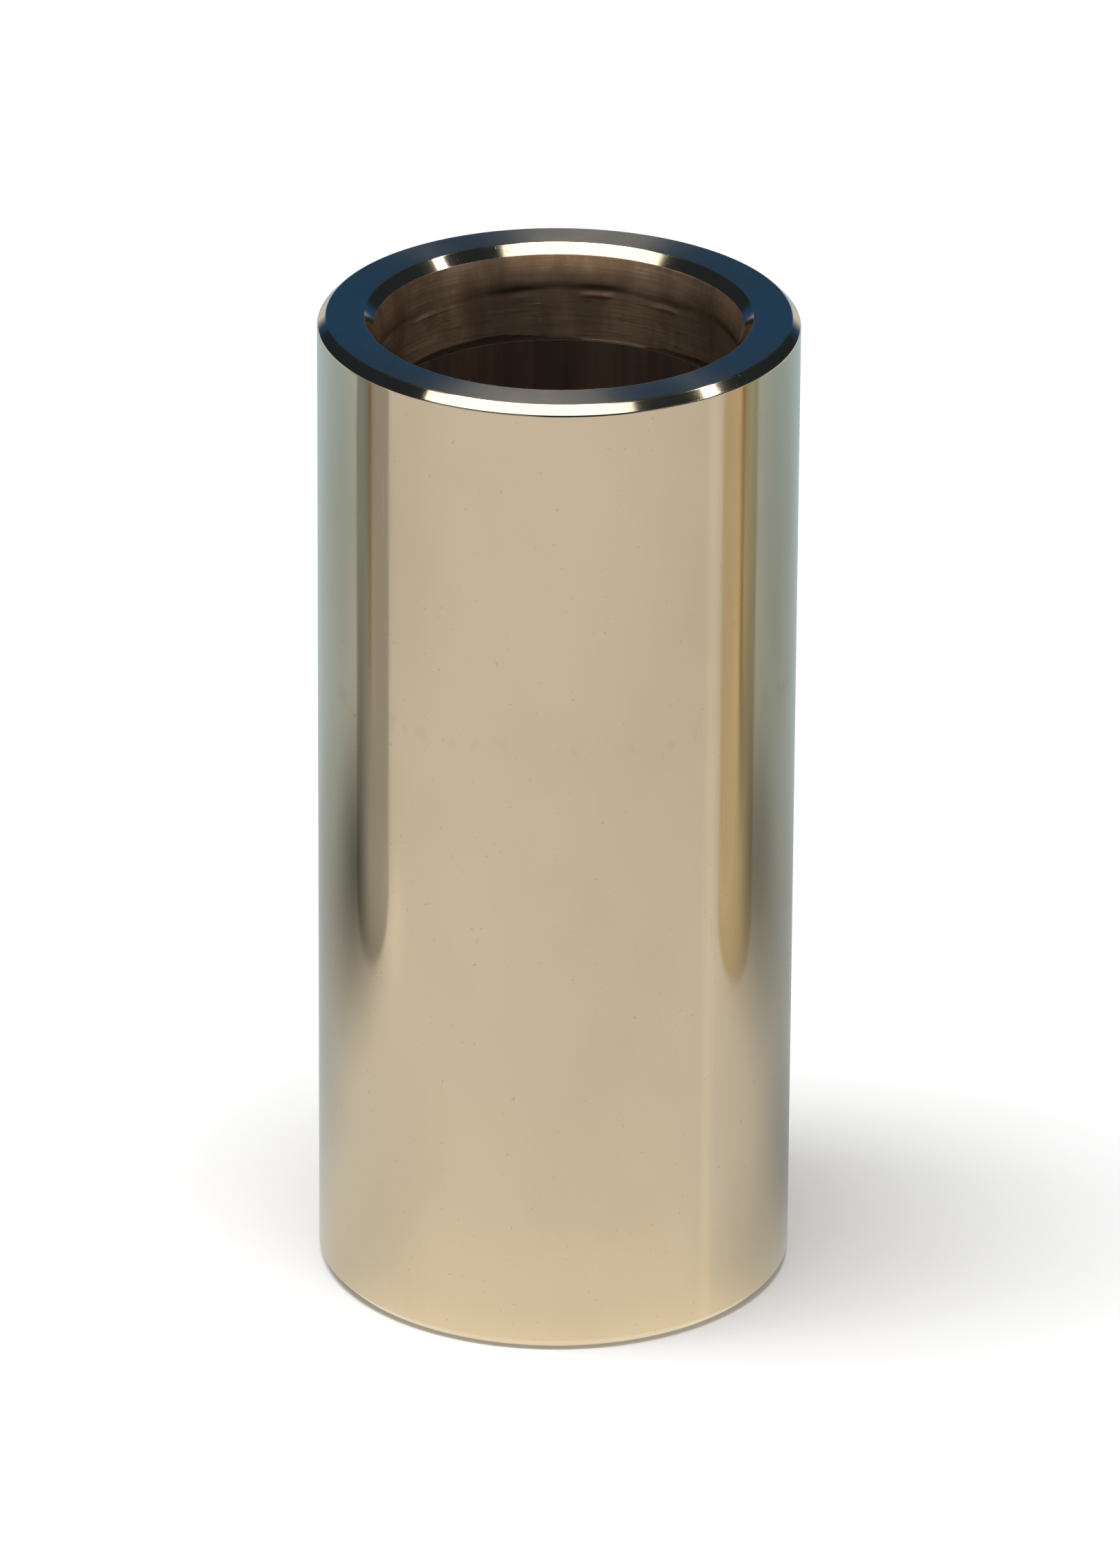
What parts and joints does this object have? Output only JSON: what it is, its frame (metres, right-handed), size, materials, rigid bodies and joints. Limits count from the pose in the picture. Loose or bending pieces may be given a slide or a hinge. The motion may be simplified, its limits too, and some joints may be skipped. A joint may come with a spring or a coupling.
{
  "type": "guitar slide",
  "caption": "Heavy-walled polished brass tube with bevelled rims, open right through, worn on a finger to slide along guitar strings.",
  "frame": {"origin": "centre of the lower end face, on the tube's axis", "axes": "+Z along the tube's axis, up as the tube stands on its end; the tube is round, so +X and +Y are any two directions square to it"},
  "size_m": [0.028, 0.028, 0.06],
  "materials": {
    "brass": "polished"
  },
  "bodies": {
    "root": {"slide_tube": "brass"}
  },
  "joints": []
}
